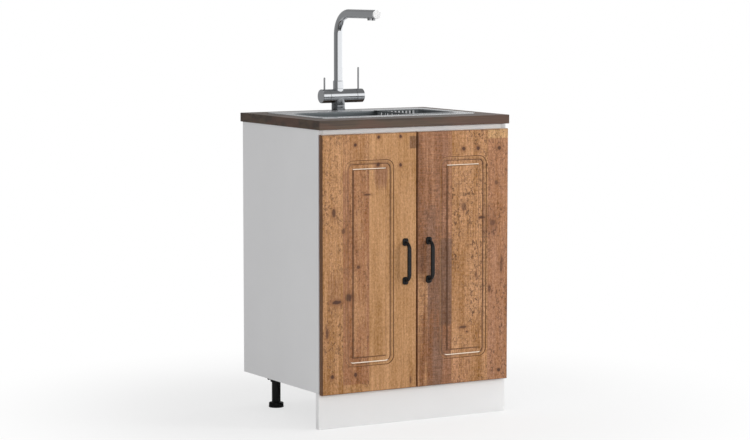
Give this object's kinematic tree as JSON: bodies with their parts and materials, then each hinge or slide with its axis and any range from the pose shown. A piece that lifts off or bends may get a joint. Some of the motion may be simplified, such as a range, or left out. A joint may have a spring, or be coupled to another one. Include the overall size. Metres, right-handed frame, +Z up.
{
  "type": "sink base cabinet",
  "caption": "Kitchen sink base cabinet with framed wood-look doors, worktop, inset steel sink with lift-out colander, bottle trap and swivel mixer tap, on adjustable legs behind a plinth.",
  "frame": {"origin": "middle of the whole unit on the floor", "axes": "+Z up, +Y from the doors to the wall, X along the front"},
  "size_m": [0.606, 0.493, 1.131],
  "materials": {
    "grey_board": "satin light grey laminate on chipboard",
    "white_board": "satin white laminate on chipboard",
    "worktop_laminate": "grey-brown wood-grain laminate, slightly glossy",
    "door_wood": "film with aged plank pattern, satin",
    "stainless": "brushed stainless steel",
    "chrome": "polished chrome",
    "plated_steel": "nickel plated",
    "black_metal": "black lacquer",
    "black_plastic": "matt black",
    "grey_plastic": "matt grey",
    "white_plastic": "white polypropylene",
    "soft_rubber": "black",
    "clear_bumper": "translucent",
    "brass": "bare brass"
  },
  "bodies": {
    "carcass": {"side_left": "grey_board", "side_right": "grey_board", "bottom_panel": "grey_board", "front_rail": "white_board", "rear_rail": "grey_board", "low_rear_rail": "grey_board", "cam_fittings": "plated_steel", "plinth": "white_board", "plinth_clips": "grey_plastic", "leg_sockets": "black_plastic", "leg_tubes": "black_plastic", "worktop": "worktop_laminate", "worktop_brackets": "plated_steel", "sink": "stainless", "sink_gasket": "soft_rubber", "sink_clamps": "plated_steel", "waste_flange": "stainless", "waste_seals": "soft_rubber", "waste_body": "white_plastic", "tail_pipe": "white_plastic", "pipe_nuts": "white_plastic", "trap_body": "white_plastic", "trap_cup": "white_plastic", "outlet_pipe": "white_plastic", "tap_seal": "soft_rubber", "tap_pedestal": "chrome", "tap_body": "chrome", "tap_shank": "chrome", "tap_nut": "brass", "tap_inlets": "brass", "tap_cartridges": "grey_plastic", "spout_collar": "chrome", "door_bumpers": "clear_bumper", "hinge_plates": "plated_steel", "hinge_arms": "plated_steel"},
    "door_left": {"door_left": "door_wood", "handle_left": "black_metal", "handle_screws_left": "plated_steel", "hinge_cups_left": "plated_steel"},
    "door_right": {"door_right": "door_wood", "handle_right": "black_metal", "handle_screws_right": "plated_steel", "hinge_cups_right": "plated_steel"},
    "rear_links_left": {"rear_links_left": "plated_steel"},
    "rear_links_right": {"rear_links_right": "plated_steel"},
    "front_links_left": {"front_links_left": "plated_steel"},
    "front_links_right": {"front_links_right": "plated_steel"},
    "spout": {"spout": "chrome", "spout_end": "chrome", "spout_nozzles": "chrome"},
    "lever_left": {"lever_cap_left": "chrome", "lever_rod_left": "chrome"},
    "lever_right": {"lever_cap_right": "chrome", "lever_rod_right": "chrome"},
    "strainer_insert": {"strainer_insert": "stainless"},
    "waste_basket": {"waste_basket": "stainless"},
    "foot_front_left": {"foot_front_left": "black_plastic"},
    "foot_front_right": {"foot_front_right": "black_plastic"},
    "foot_rear_left": {"foot_rear_left": "black_plastic"},
    "foot_rear_right": {"foot_rear_right": "black_plastic"}
  },
  "joints": [
    {"name": "door_left_turn", "type": "hinge", "parent": "carcass", "child": "door_left", "pos_m": [-0.2945, -0.218, 0.4485], "axis": [0, 0, 1], "range_deg": [-100, 0]},
    {"name": "rear_links_left_turn", "type": "hinge", "parent": "carcass", "child": "rear_links_left", "pos_m": [-0.2753, -0.198, 0.4485], "axis": [0, 0, 1], "range_deg": [-100, 0]},
    {"name": "front_links_left_turn", "type": "hinge", "parent": "door_left", "child": "front_links_left", "pos_m": [-0.282, -0.21, 0.4485], "axis": [0, 0, 1], "range_deg": [0, 100]},
    {"name": "door_right_turn", "type": "hinge", "parent": "carcass", "child": "door_right", "pos_m": [0.2945, -0.218, 0.4485], "axis": [0, 0, 1], "range_deg": [0, 100]},
    {"name": "rear_links_right_turn", "type": "hinge", "parent": "carcass", "child": "rear_links_right", "pos_m": [0.2753, -0.198, 0.4485], "axis": [0, 0, 1], "range_deg": [0, 100]},
    {"name": "front_links_right_turn", "type": "hinge", "parent": "door_right", "child": "front_links_right", "pos_m": [0.282, -0.21, 0.4485], "axis": [0, 0, 1], "range_deg": [-100, 0]},
    {"name": "spout_swivel", "type": "hinge", "parent": "carcass", "child": "spout", "pos_m": [0, 0.2195, 1], "axis": [0, 0, 1], "range_deg": [-90, 90]},
    {"name": "lever_left_turn", "type": "hinge", "parent": "carcass", "child": "lever_left", "pos_m": [-0.0454, 0.2195, 0.881], "axis": [1, 0, 0], "range_deg": [0, 90]},
    {"name": "lever_right_turn", "type": "hinge", "parent": "carcass", "child": "lever_right", "pos_m": [0.0664, 0.2195, 0.881], "axis": [1, 0, 0], "range_deg": [0, 90]},
    {"name": "insert_lift", "type": "slide", "parent": "carcass", "child": "strainer_insert", "axis": [0, 0, 1], "range_m": [0, 0.15]},
    {"name": "basket_lift", "type": "slide", "parent": "carcass", "child": "waste_basket", "axis": [0, 0, 1], "range_m": [0, 0.06]},
    {"name": "foot_front_left_screw", "type": "slide", "parent": "carcass", "child": "foot_front_left", "axis": [0, 0, -1], "range_m": [0, 0.02]},
    {"name": "foot_front_right_screw", "type": "slide", "parent": "carcass", "child": "foot_front_right", "axis": [0, 0, -1], "range_m": [0, 0.02]},
    {"name": "foot_rear_left_screw", "type": "slide", "parent": "carcass", "child": "foot_rear_left", "axis": [0, 0, -1], "range_m": [0, 0.02]},
    {"name": "foot_rear_right_screw", "type": "slide", "parent": "carcass", "child": "foot_rear_right", "axis": [0, 0, -1], "range_m": [0, 0.02]}
  ],
  "couplings": [
    {"joint": "rear_links_left_turn", "follows": "door_left_turn", "ratio": 1},
    {"joint": "front_links_left_turn", "follows": "door_left_turn", "ratio": -1},
    {"joint": "rear_links_right_turn", "follows": "door_right_turn", "ratio": 1},
    {"joint": "front_links_right_turn", "follows": "door_right_turn", "ratio": -1}
  ]
}
